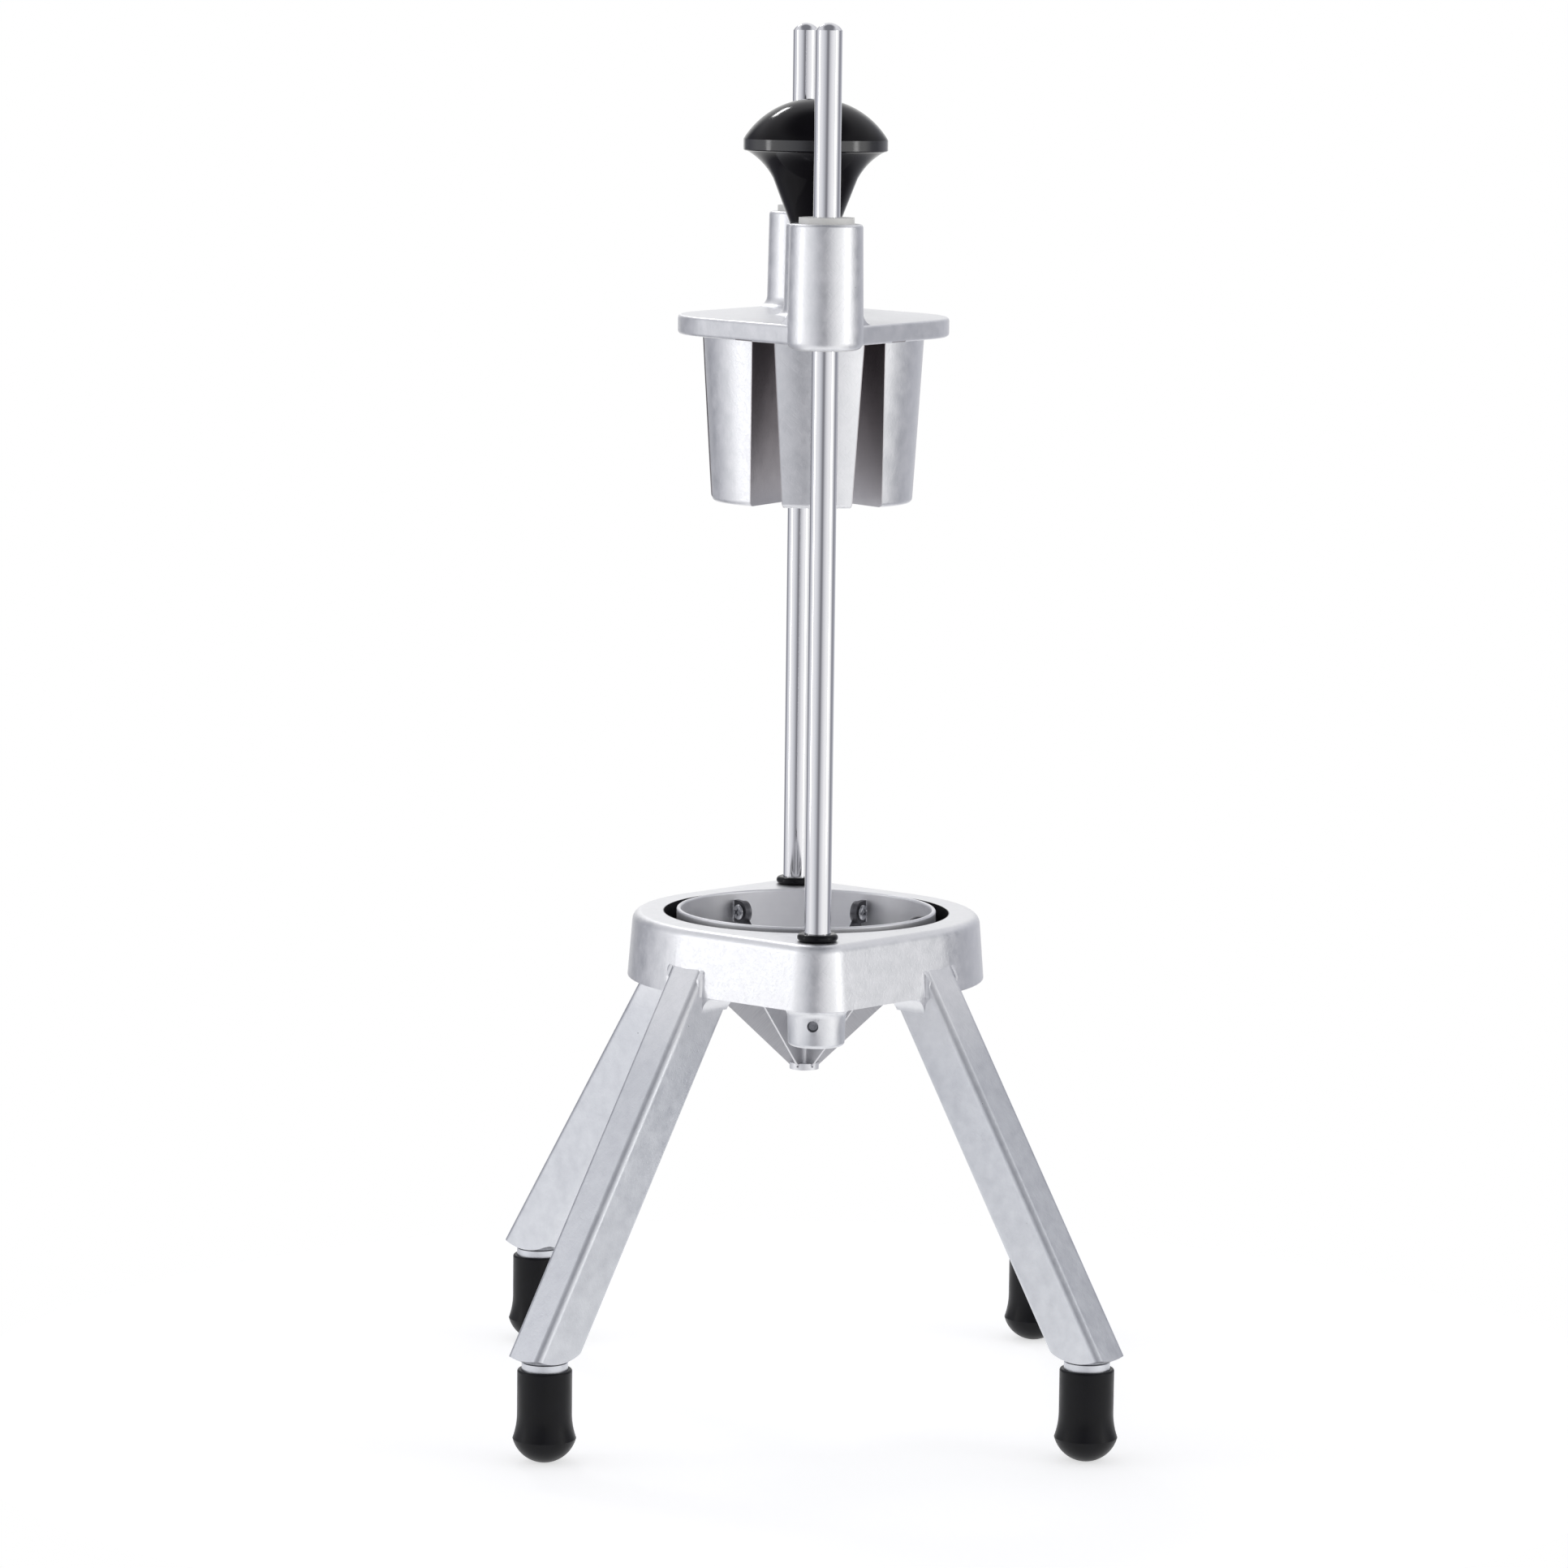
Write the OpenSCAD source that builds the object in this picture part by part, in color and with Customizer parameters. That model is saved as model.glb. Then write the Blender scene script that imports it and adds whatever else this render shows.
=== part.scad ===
// Lemon wedger: a pusher with six fingers slides down two guide rods and drives a fruit through a
// cone of six blades, into a bowl that stands between four splayed legs.
// Frame: origin on the table under the middle of the blades, +Z up, -Y to the front. The rods stand
// one behind the other, on the Y axis. All sizes are in millimetres.

/* [Guide rods] */
// Diameter of each guide rod
rod_d = 9.5; // [8:0.1:11]
// Distance between the axes of the two rods
rod_spacing = 140; // [136:0.5:156]
// Height of the rod tips above the table
rod_top_z = 507.2; // [470:0.1:560]
// Height of the rounded tip of a rod
rod_tip_h = 2.8; // [0.8:0.1:4]
// Diameter of the cross pin that holds a rod in the base
rod_pin_d = 4; // [3:0.1:5]
// How deep each end of a cross pin lies in its hole
rod_pin_recess = 1.5; // [0.4:0.1:2.5]

/* [Base frame] */
// Height of the top face of the base above the table
base_top_z = 182.8; // [174:0.1:198]
// Height of the rim of the base
base_h = 23.5; // [20:0.5:30]
// Radius of the round middle of the rim, at its lower edge
base_r = 65.6; // [64:0.1:69]
// Radius of the rim round each rod, at its lower edge
base_corner_r = 14.5; // [14:0.1:18]
// How far the rim leans in from its lower edge to its top
base_draft = 1.9; // [0.5:0.1:3]
// Round of the upper edge of the rim
base_edge_r = 3.6; // [1:0.1:5]
// Radius of the opening that the blade ring drops into
opening_r = 52.4; // [51.5:0.1:54]
// Thickness of the ledge that the blade ring stands on
ledge_t = 3; // [2.5:0.1:6]
// Diameter of the boss under each rod
rod_boss_d = 21; // [18:0.1:22]
// Length of the boss under each rod
rod_boss_h = 14; // [11:0.1:20]
// How far the bosses lean in towards their lower ends
rod_boss_draft = 0.4; // [0.1:0.1:1]
// Round of the lower edge of the bosses
rod_boss_edge_r = 1.5; // [0.5:0.1:2.5]
// Depth of the cross pin below the rim
rod_pin_drop = 5.8; // [4:0.1:8]
// Turn of the cross pins from the way to the front, in degrees
rod_pin_turn = -11; // [-30:1:30]

/* [Legs] */
// Distance of each foot from the middle, to the side and to the front or rear
foot_offset = 96.4; // [90:0.1:104]
// Lean of the outer faces of the legs from upright, in degrees
leg_tilt = 32.6; // [31:0.1:34]
// How much steeper the inner faces of the legs stand, in degrees
leg_taper = 0.2; // [0:0.1:2]
// Width of a leg across its outer face
leg_w = 15.8; // [12:0.1:18]
// Depth of a leg at its lower end, level with the table
leg_depth = 23.7; // [20:0.1:26]
// How far a leg reaches out past the middle of its foot
leg_reach = 14; // [12:0.1:15]
// Round of the long edges of a leg
leg_edge_r = 2.6; // [1:0.1:4]
// Height of the lower end of a leg above the table
leg_end_z = 35; // [34.5:0.1:42]
// Radius of the domed lower end of a leg
leg_end_r = 25; // [20:0.5:40]
// Hollow round where the sides of a leg meet the wall of the rim
leg_side_r = 2.5; // [2:0.1:4]
// Hollow round where the sides of a leg meet the underside of the rim
leg_root_r = 6; // [3:0.5:7]
// Diameter of the post under each leg
post_d = 16.5; // [14:0.1:18]

/* [Feet] */
// Height of a rubber foot
foot_h = 33.5; // [28:0.1:34]
// Radius of the straight neck of a foot
foot_neck_r = 9.75; // [9.5:0.05:11]
// Radius of the widest part of a foot
foot_bulge_r = 11.3; // [11:0.05:13]
// Height of the widest part of a foot
foot_bulge_z = 8.5; // [7:0.1:11]
// Height at which the neck starts to widen
foot_flare_z = 17.5; // [14:0.1:22]
// Radius of the flat that a foot stands on
foot_flat_r = 2.5; // [2:0.1:6]
// Rubber under the post of a leg
foot_floor_t = 8; // [5:0.1:12]
// Round of the upper edge of a foot
foot_lip_r = 0.8; // [0.4:0.1:1]

/* [Bumpers] */
// Outer diameter of a rubber bumper
bumper_d = 14.6; // [13:0.1:18]
// Height of a rubber bumper
bumper_h = 2.8; // [1.6:0.1:4]

/* [Blade ring] */
// Outer radius of the blade ring
ring_r = 47.7; // [46:0.1:49]
// Wall thickness of the blade ring
ring_wall = 1.6; // [1.2:0.1:3]
// How far the blade ring stands above the base
ring_proud = 1.3; // [0:0.1:5]
// Thickness of the flange at the foot of the blade ring
ring_flange_t = 3; // [2:0.1:5]
// Diameter of the screws that hold the blade ring from below
ring_screw_d = 3; // [2:0.1:3]
// Length of those screws under their heads
ring_screw_l = 5.5; // [4.5:0.1:5.8]
// Thickness of the lugs that carry the blades
lug_t = 1.8; // [1.4:0.1:2.2]

/* [Blades] */
// Thickness of a blade
blade_t = 0.8; // [0.5:0.1:1.2]
// Width of a blade, square to its cutting edge
blade_w = 12.4; // [9:0.1:14]
// Slope of the cutting edges, in degrees
blade_slope = 43.5; // [41:0.1:46]
// Radius of the round ear at the outer end of a blade
ear_r = 4.1; // [3.4:0.1:5]
// Height of the ears above the foot of the blade ring, to their middle
ear_rise = 14.7; // [14:0.1:16]
// Width of the ground bevel along the cutting edge
bevel_w = 2.2; // [1:0.1:4]
// Thickness left at the cutting edge
edge_t = 0.15; // [0.1:0.05:0.3]
// Diameter of the screws that hold the ears
blade_screw_d = 3; // [2:0.1:3.4]
// Diameter of the heads of those screws
blade_head_d = 5.8; // [4.6:0.1:6.5]
// Height of the heads of those screws
blade_head_h = 1.7; // [1.2:0.1:2]

/* [Blade hub] */
// Diameter of the pin that the blades meet at
hub_pin_d = 4; // [3:0.1:5]
// Height of the pin above the seat of the blades
hub_pin_h = 16.5; // [12:0.1:20]
// Diameter of the slotted collar under the blades
hub_collar_d = 10.8; // [9.5:0.1:13]
// Height of the slotted collar
hub_collar_h = 2.4; // [1.8:0.1:6]
// Thickness of the collar under the blades
hub_floor_t = 1; // [0.8:0.1:2]
// Radius at which the lower edges of the blades reach their seat
hub_seat_r = 4.9; // [3:0.1:5.2]

/* [Pusher] */
// Height of the lower face of the pusher plate above the table, at rest
plate_z = 394.7; // [330:0.1:430]
// Thickness of the pusher plate
plate_t = 7; // [5:0.1:10]
// Radius of the round middle of the plate
plate_r = 49.3; // [47:0.1:54]
// Round of the edges of the plate
plate_edge_r = 1.3; // [0.6:0.1:2.5]
// Radius of the guide bosses at their lower end
guide_r = 13.5; // [12.5:0.1:15]
// How far the guide bosses lean in over their height
guide_draft = 0.6; // [0.2:0.1:1.2]
// Height of the guide bosses above the plate
guide_h = 35.5; // [28:0.1:45]
// How far the guide bosses reach below the plate
guide_drop = 1.6; // [1.5:0.1:4]
// Round of the lower edge of the guide bosses
guide_edge_r = 3; // [0.6:0.1:3.2]
// Hollow round where the guide bosses meet the plate
guide_root_r = 4.5; // [2:0.1:6]
// Radius of the knob post at the plate
knob_post_r = 11; // [10.5:0.1:13]
// Height of the knob post above the plate
knob_post_h = 33.3; // [26:0.1:40]
// Hollow round where the knob post meets the plate, and the rod bosses meet the rim
root_r = 3.5; // [1:0.1:5]

/* [Fingers] */
// Length of the fingers below the plate
finger_l = 60.5; // [50:0.5:70]
// Radius over the fingers at the plate
finger_r = 40.3; // [36:0.1:41.5]
// How far the fingers lean in towards their ends
finger_draft = 3.5; // [1:0.1:5]
// Round of the outer edge at the ends of the fingers
finger_edge_r = 2; // [0.6:0.1:3]
// Width of the blade slots at the plate
slot_w = 8.6; // [8.4:0.1:11]
// How much wider the blade slots are at the ends of the fingers
slot_draft = 4.2; // [2:0.1:6]

/* [Bushes] */
// Outer diameter of the sleeve of a bush
bush_d = 14; // [12.5:0.1:16]
// Length of the sleeve of a bush
bush_l = 15; // [10:0.1:18]
// Diameter of the flange of a bush
bush_flange_d = 19.6; // [17:0.1:22]
// Thickness of the upper flanges
bush_top_t = 2.2; // [1:0.1:3]
// Thickness of the lower flanges
bush_low_t = 1.1; // [1:0.1:2]
// How deep the lower flanges are let into the guide bosses
bush_low_sink = 0.9; // [0.4:0.1:0.9]

/* [Knob] */
// Diameter of the knob
knob_d = 52.4; // [46:0.1:60]
// Height of the knob
knob_h = 45; // [40:0.1:54]
// Radius of the domed top of the knob
knob_cap_r = 30.7; // [30.2:0.1:45]
// Height of the straight rim of the knob
knob_rim_h = 4.2; // [3:0.1:8]
// Radius of the foot of the knob
knob_foot_r = 9.2; // [8:0.1:10]
// Radius of the knob where its stem flares out
knob_flare_r = 15.3; // [13:0.1:17]
// Height at which the stem flares out
knob_flare_h = 16.1; // [14:0.1:20]
// Radius of the hollow under the rim
knob_hollow_r = 24; // [20:0.1:30]
// How far the hollow stops inside the rim
knob_lip = 1; // [0.4:0.1:2]
// Diameter of the stud that joins the knob to the pusher
stud_d = 8; // [6:0.1:10]
// Length of the stud in the knob
stud_knob_l = 26; // [20:0.5:32]
// Length of the stud in the post
stud_post_l = 22; // [15:0.5:30]

/* [Fits] */
// Clearance round pieces that are pressed or screwed together
fit_gap = 0.03; // [0.01:0.01:0.1]
// Running clearance round the rods in the bushes
slide_gap = 0.05; // [0.03:0.01:0.1]
// Clearance round the blade ring in the base
ring_gap = 0.5; // [0.2:0.1:0.8]

/* [Hidden] */
$fn = 64;

// Overlap that makes joined shapes one solid, and overshoot of cuts
bite = 1;
// Sides of the circles that the two flanges are blended from, and of their edge rounds
flange_fn = 72;
round_fn = 20;
rod_y = rod_spacing / 2;
base_z = base_top_z - base_h;
ring_z = base_z + ledge_t;
ring_top_z = base_top_z + ring_proud;
ring_inner_r = ring_r - ring_wall;
ring_flange_r = opening_r - ring_gap;
ring_screw_r = (ring_inner_r + ring_flange_r) / 2;
ring_screw_count = 4;
ring_head_d = 1.8 * ring_screw_d;
ring_head_h = 0.7 * ring_screw_d;
rod_z = base_z - rod_boss_h + bite;
bumper_z = base_top_z;
leg_angle = 45;
leg_foot_r = foot_offset / sin(leg_angle);
// How far a shape draws in where it would share a face with the one it joins
draw_in = 0.1;
blade_step = 60;
blade_count = 6;
blade_end_r = ring_inner_r - ring_gap;
ear_mid_r = blade_end_r - ear_r;
ear_mid_z = ring_z + ear_rise;
blade_inner_r = hub_pin_d / 2 + fit_gap;
seat_z = blade_bottom(hub_seat_r);
plate_top_z = plate_z + plate_t;
guide_z = plate_z - guide_drop;
guide_top_z = plate_top_z + guide_h;
knob_z = plate_top_z + knob_post_h;

// Heights of a blade's cutting edge and lower edge at a distance from the middle
function blade_top(r) = ear_mid_z + (r - ear_mid_r) * tan(blade_slope);
function blade_bottom(r) = blade_top(r) - blade_w / cos(blade_slope);
// Blades on the left half have their screw heads on the anticlockwise side, the others mirror them
function head_side(k) = (k == 2 || k == 3 || k == 4) ? 1 : -1;
// Width of a blade slot at a depth below the plate
function slot_width(depth) = slot_w + slot_draft * depth / finger_l;
// Centre of the circle of radius r through p and q that lies to the right of the way from p to q
function arc_centre(p, q, r) =
    let (d = norm(q - p), n = [(q - p).y, (p - q).x] / d)
    (p + q) / 2 + n * sqrt(r * r - d * d / 4);

// Half section of a turned block of radius r at its foot, with a leaning wall and a rounded upper edge
module wall_section(r, h, draft, edge_r) {
    lean = atan(draft / h);
    mid_y = h - edge_r;
    mid_x = r - (edge_r + mid_y * sin(lean)) / cos(lean);
    translate([mid_x, mid_y]) circle(edge_r, $fn = round_fn);
    polygon([
        [0, 0], [r, 0],
        [mid_x + edge_r * cos(lean), mid_y + edge_r * sin(lean)],
        [mid_x, mid_y], [mid_x, h], [0, h]
    ]);
}

// Half section of a round plate of radius r, its edge rounded above and below
module plate_section(r, h, edge_r) {
    square([r - edge_r, h]);
    translate([0, edge_r]) square([r, h - 2 * edge_r]);
    for (y = [edge_r, h - edge_r]) translate([r - edge_r, y]) circle(edge_r, $fn = round_fn);
}

// Section of the hollow round at the root of a wall at x = r, on a face at y = 0
module root_section(r, round_r) {
    difference() {
        translate([r - bite, -bite]) square([round_r + bite, round_r + bite]);
        translate([r + round_r, round_r]) circle(round_r);
    }
}

// Rectangle with rounded corners, in the middle of its plane
module rounded_rectangle(x, y, r) {
    square([x - 2 * r, y], center = true);
    square([x, y - 2 * r], center = true);
    for (i = [-1, 1], j = [-1, 1]) translate([i * (x / 2 - r), j * (y / 2 - r)]) circle(r);
}

// One copy at each rod, front and rear
module at_rods() {
    for (side = [-1, 1]) translate([0, side * rod_y, 0]) children();
}

// Lays a shape drawn along Z down along the cross pin of a rod
module along_pin() {
    translate([0, 0, base_z - rod_pin_drop]) rotate([90, 0, rod_pin_turn]) children();
}

// One copy at each leg, with +X away from the middle
module at_legs() {
    for (k = [0 : 3]) rotate([0, 0, leg_angle + 90 * k]) children();
}

// Slanted bar of width w, whose face on the given side passes the foot at a distance from its middle
module leg_bar(tilt, distance, side, w) {
    bar_d = 2 * leg_depth;
    bar_l = (base_top_z - leg_end_z) / cos(tilt) + 2 * leg_depth;
    translate([leg_foot_r + distance, 0, leg_end_z]) rotate([0, -tilt, 0])
        translate([-side * bar_d / 2, 0, -leg_depth]) linear_extrude(bar_l)
            rounded_rectangle(bar_d, w, leg_edge_r);
}

// The leg's outer and inner faces, on a bar of width w
module leg_slab(w) {
    intersection() {
        leg_bar(leg_tilt, leg_reach, 1, w);
        leg_bar(leg_tilt - leg_taper, leg_reach - leg_depth, -1, w);
    }
}

// Hollow rounds where the sides of a leg meet the wall of the rim
module leg_side_rounds() {
    wall_x = sqrt(base_r ^ 2 - leg_w ^ 2 / 4) - base_draft / 2;
    intersection() {
        leg_bar(leg_tilt, leg_reach - draw_in, 1, leg_w + 2 * leg_side_r);
        for (side = [0, 1]) mirror([0, side, 0]) translate([wall_x, 0, base_z + draw_in])
            linear_extrude(base_h - base_edge_r) mirror([1, -1]) root_section(leg_w / 2, leg_side_r);
    }
}

// Hollow rounds where the sides of a leg meet the underside of the rim
module leg_roots() {
    intersection() {
        leg_slab(leg_w + 2 * leg_root_r);
        for (side = [0, 1]) mirror([0, side, 0]) translate([0, 0, base_z]) mirror([0, 0, 1])
            rotate([90, 0, 90]) linear_extrude(leg_foot_r) root_section(leg_w / 2, leg_root_r);
        cylinder(r = base_r - bite / 2, h = base_top_z);
    }
}

// A leg that leans out from the rim to its foot, with its domed end and its post
module leg() {
    dome_cut_h = leg_end_r / 4;
    intersection() {
        difference() {
            leg_slab(leg_w);
            translate([leg_foot_r, 0, 0]) difference() {
                cylinder(r = 2 * leg_depth, h = leg_end_z + dome_cut_h);
                translate([0, 0, leg_end_z + leg_end_r]) sphere(leg_end_r);
            }
        }
        cylinder(r = 2 * leg_foot_r, h = base_top_z - base_edge_r);
    }
    leg_side_rounds();
    leg_roots();
    translate([leg_foot_r, 0, foot_floor_t]) cylinder(d = post_d, h = leg_end_z + bite - foot_floor_t);
}

// Boss under the rim that takes the lower end of a rod
module rod_boss() {
    r = rod_boss_d / 2;
    translate([0, 0, base_z]) mirror([0, 0, 1]) rotate_extrude() {
        wall_section(r, rod_boss_h, rod_boss_draft, rod_boss_edge_r);
        root_section(r, root_r);
    }
    translate([0, 0, base_z - bite]) cylinder(r = r - bite, h = 2 * bite);
}

// Round block with the rim's leaning wall and rounded upper edge
module base_turned(r) {
    rotate_extrude($fn = flange_fn) wall_section(r, base_h, base_draft, base_edge_r);
}

module base_frame() {
    hole_d = ring_screw_d + 2 * ring_gap;
    color("silver") difference() {
        union() {
            translate([0, 0, base_z]) hull() {
                base_turned(base_r);
                at_rods() base_turned(base_corner_r);
            }
            at_rods() rod_boss();
            at_legs() leg();
        }
        translate([0, 0, ring_z]) cylinder(r = opening_r, h = base_h);
        translate([0, 0, base_z - bite]) cylinder(r = ring_inner_r, h = base_h);
        at_rods() translate([0, 0, base_z - rod_boss_h - bite])
            cylinder(d = rod_d + 2 * fit_gap, h = base_h + rod_boss_h + 2 * bite);
        at_rods() along_pin() cylinder(d = rod_pin_d + 2 * fit_gap, h = rod_boss_d + 2 * bite, center = true);
        at_ring_screws() translate([0, 0, base_z - bite]) cylinder(d = hole_d, h = ledge_t + 2 * bite);
    }
}

// Rubber foot, pushed over the post of a leg
module foot(x, y) {
    dome_z = (foot_bulge_r ^ 2 + foot_bulge_z ^ 2 - foot_flat_r ^ 2) / (2 * foot_bulge_z);
    dome_r = norm([foot_flat_r, dome_z]);
    flare_h = foot_flare_z - foot_bulge_z;
    flare_out = foot_bulge_r - foot_neck_r;
    flare_r = (flare_h ^ 2 + flare_out ^ 2) / (2 * flare_out);
    color("#26242a") translate([x * foot_offset, y * foot_offset, 0]) difference() {
        rotate_extrude() {
            intersection() {
                translate([0, dome_z]) circle(dome_r);
                square([foot_bulge_r + bite, foot_bulge_z]);
            }
            translate([0, foot_bulge_z]) difference() {
                square([foot_bulge_r, flare_h]);
                translate([foot_neck_r + flare_r, flare_h]) circle(flare_r);
            }
            translate([0, foot_flare_z - bite])
                wall_section(foot_neck_r, foot_h - foot_flare_z + bite, 0, foot_lip_r);
        }
        translate([0, 0, foot_floor_t]) cylinder(d = post_d + 2 * fit_gap, h = foot_h);
    }
}

// Polished rod with a rounded tip, cross drilled for its pin
module guide_rod(side) {
    tip_r = (rod_d ^ 2 / 4 + rod_tip_h ^ 2) / (2 * rod_tip_h);
    color("gainsboro") translate([0, side * rod_y, 0]) difference() {
        intersection() {
            translate([0, 0, rod_z]) cylinder(d = rod_d, h = rod_top_z - rod_z);
            union() {
                translate([0, 0, rod_top_z - tip_r]) sphere(tip_r);
                translate([0, 0, rod_z]) cylinder(d = 2 * rod_d, h = rod_top_z - rod_tip_h - rod_z);
            }
        }
        along_pin() cylinder(d = rod_pin_d + 2 * fit_gap, h = 2 * rod_d, center = true);
    }
}

// Cross pin with chamfered ends, through the boss and the rod
module rod_pin(side) {
    pin_l = rod_boss_d - 2 * rod_pin_recess;
    chamfer = rod_pin_d / 8;
    color("lightgray") translate([0, side * rod_y, 0]) along_pin() {
        cylinder(d = rod_pin_d, h = pin_l - 2 * chamfer, center = true);
        for (end = [0, 1]) mirror([0, 0, end]) translate([0, 0, pin_l / 2 - chamfer])
            cylinder(d1 = rod_pin_d, d2 = rod_pin_d - 2 * chamfer, h = chamfer);
    }
}

// Rubber ring that the pusher lands on
module bumper(side) {
    bore_r = rod_d / 2 + fit_gap;
    round_r = bumper_h / 2;
    color("#1c1b1e") translate([0, side * rod_y, bumper_z]) rotate_extrude() difference() {
        union() {
            square([bumper_d / 2 - round_r, bumper_h]);
            translate([bumper_d / 2 - round_r, round_r]) circle(round_r);
        }
        translate([-bite, -bite]) square([bore_r + bite, bumper_h + 2 * bite]);
    }
}

// One copy at each screw of the blade ring
module at_ring_screws() {
    for (k = [0 : ring_screw_count - 1])
        rotate([0, 0, 360 / ring_screw_count * k]) translate([ring_screw_r, 0, 0]) children();
}

// Stands an outline drawn in distance and height up in the plane of blade k
module in_blade_plane(k, t) {
    rotate([0, 0, blade_step * k]) rotate([90, 0, 0]) linear_extrude(t, center = true) children();
}

// Moves a shape to the ear of blade k, with +Z along the way its screw leaves
module at_ear(k) {
    rotate([0, 0, blade_step * k]) translate([ear_mid_r, 0, ear_mid_z]) rotate([-90 * head_side(k), 0, 0])
        children();
}

// Lug inside the ring that a blade's ear is screwed to
module blade_lug(k) {
    far = blade_t / 2 + fit_gap + lug_t;
    rotate([0, 0, blade_step * k]) translate([0, head_side(k) * (far - lug_t / 2), 0]) rotate([90, 0, 0])
        linear_extrude(lug_t, center = true) translate([ear_mid_r, ear_mid_z]) {
            circle(ear_r);
            translate([0, -ear_r]) square([ring_inner_r + ring_wall / 2 - ear_mid_r, 2 * ear_r]);
        }
}

// Ring that carries the blades, with a flange that stands on the ledge of the base
module blade_ring() {
    color("#c9c9cc") difference() {
        union() {
            rotate_extrude() {
                translate([ring_inner_r, ring_z]) square([ring_wall, ring_top_z - ring_wall / 2 - ring_z]);
                translate([ring_inner_r + ring_wall / 2, ring_top_z - ring_wall / 2]) circle(ring_wall / 2);
                translate([ring_inner_r, ring_z]) square([ring_flange_r - ring_inner_r, ring_flange_t]);
            }
            for (k = [0 : blade_count - 1]) blade_lug(k);
        }
        for (k = [0 : blade_count - 1]) at_ear(k)
            cylinder(d = blade_screw_d + 2 * fit_gap, h = 3 * lug_t, center = true);
        at_ring_screws() translate([0, 0, ring_z - bite])
            cylinder(d = ring_screw_d + 2 * fit_gap, h = ring_flange_t + 2 * bite);
    }
}

// Pan head of a screw, on the face at z = 0
module screw_head(d, h) {
    rotate_extrude() wall_section(d / 2, h, h / 6, h / 2);
}

// Screws that hold the blade ring to the ledge, from below
module ring_screws() {
    color("lightgray") at_ring_screws() translate([0, 0, base_z]) {
        mirror([0, 0, 1]) screw_head(ring_head_d, ring_head_h);
        translate([0, 0, -ring_head_h / 2]) cylinder(d = ring_screw_d, h = ring_head_h / 2 + ring_screw_l);
    }
}

// Screws that hold the ears of the blades to their lugs
module blade_screws() {
    head_z = blade_t / 2 + lug_t + 2 * fit_gap;
    shank_l = head_z + blade_t + bite / 2;
    color("lightgray") for (k = [0 : blade_count - 1]) at_ear(k) {
        translate([0, 0, head_z]) screw_head(blade_head_d, blade_head_h);
        translate([0, 0, head_z + bite / 2 - shank_l]) cylinder(d = blade_screw_d, h = shank_l);
    }
}

// Blade that runs from the hub up to its ear, with its cutting edge ground on both faces
module blade(k) {
    ground_l = (ear_mid_r - blade_inner_r) / cos(blade_slope) + bevel_w;
    color("#b4b4b8") difference() {
        in_blade_plane(k, blade_t) difference() {
            union() {
                polygon([
                    [blade_inner_r, seat_z], [hub_seat_r, seat_z],
                    [blade_end_r, blade_bottom(blade_end_r)], [blade_end_r, ear_mid_z],
                    [ear_mid_r, ear_mid_z], [blade_inner_r, blade_top(blade_inner_r)]
                ]);
                translate([ear_mid_r, ear_mid_z]) circle(ear_r);
            }
            translate([ear_mid_r, ear_mid_z]) circle(d = blade_screw_d + 2 * fit_gap);
        }
        rotate([0, 0, blade_step * k]) translate([ear_mid_r, 0, ear_mid_z]) rotate([0, -blade_slope, 0])
            for (face = [0, 1]) mirror([0, face, 0]) translate([-ear_r, 0, 0]) rotate([90, 0, -90])
                linear_extrude(ground_l) polygon([
                    [edge_t / 2, 0], [blade_t / 2, -bevel_w],
                    [blade_t, -bevel_w], [blade_t, bite], [edge_t / 2, bite]
                ]);
    }
}

// Pin that the blades meet at, with a slotted collar that their tips stand in
module blade_hub() {
    slot_t = blade_t + 2 * fit_gap;
    point_h = hub_pin_d / 2;
    color("#c4c4c8") translate([0, 0, seat_z]) difference() {
        union() {
            translate([0, 0, -hub_floor_t]) cylinder(d = hub_collar_d, h = hub_collar_h);
            translate([0, 0, -hub_floor_t]) cylinder(d = hub_pin_d, h = hub_floor_t + hub_pin_h - point_h);
            translate([0, 0, hub_pin_h - point_h]) cylinder(d1 = hub_pin_d, d2 = hub_pin_d / 4, h = point_h);
        }
        for (k = [0 : blade_count - 1]) rotate([0, 0, blade_step * k])
            translate([hub_pin_d / 2, -slot_t / 2, 0]) cube([hub_collar_d, slot_t, hub_collar_h]);
    }
}

// Six fingers: a drafted round block, cut by three slots that clear the blades
module fingers() {
    translate([0, 0, plate_z]) difference() {
        union() {
            mirror([0, 0, 1]) rotate_extrude()
                wall_section(finger_r, finger_l, finger_draft, finger_edge_r);
            cylinder(r = finger_r, h = plate_t / 2);
        }
        for (k = [0 : blade_count / 2 - 1]) rotate([90, 0, 90 + blade_step * k])
            linear_extrude(3 * finger_r, center = true) polygon([
                [-slot_w / 2, 0], [slot_w / 2, 0],
                [slot_width(finger_l + bite) / 2, -finger_l - bite],
                [-slot_width(finger_l + bite) / 2, -finger_l - bite]
            ]);
    }
}

// Guide boss that holds the bushes of one rod
module guide_boss() {
    plate_mid_z = plate_z + plate_t / 2;
    translate([0, 0, plate_mid_z]) rotate_extrude() {
        wall_section(guide_r, guide_top_z - plate_mid_z, guide_draft, plate_edge_r);
        mirror([0, 1]) wall_section(guide_r, plate_mid_z - guide_z, guide_draft / 4, guide_edge_r);
        translate([0, -bite]) square([guide_r - bite, 2 * bite]);
    }
}

// Outline of the plate, drawn in by some distance
module plate_outline(inset) {
    r = plate_r - inset;
    corner_r = guide_r - plate_edge_r - inset;
    lean = asin((r - corner_r) / rod_y);
    circle(r);
    for (side = [-1, 1]) {
        translate([0, side * rod_y]) circle(corner_r);
        polygon([
            [-r * cos(lean), side * r * sin(lean)], [r * cos(lean), side * r * sin(lean)],
            [corner_r * cos(lean), side * (rod_y + corner_r * sin(lean))],
            [-corner_r * cos(lean), side * (rod_y + corner_r * sin(lean))]
        ]);
    }
}

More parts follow.
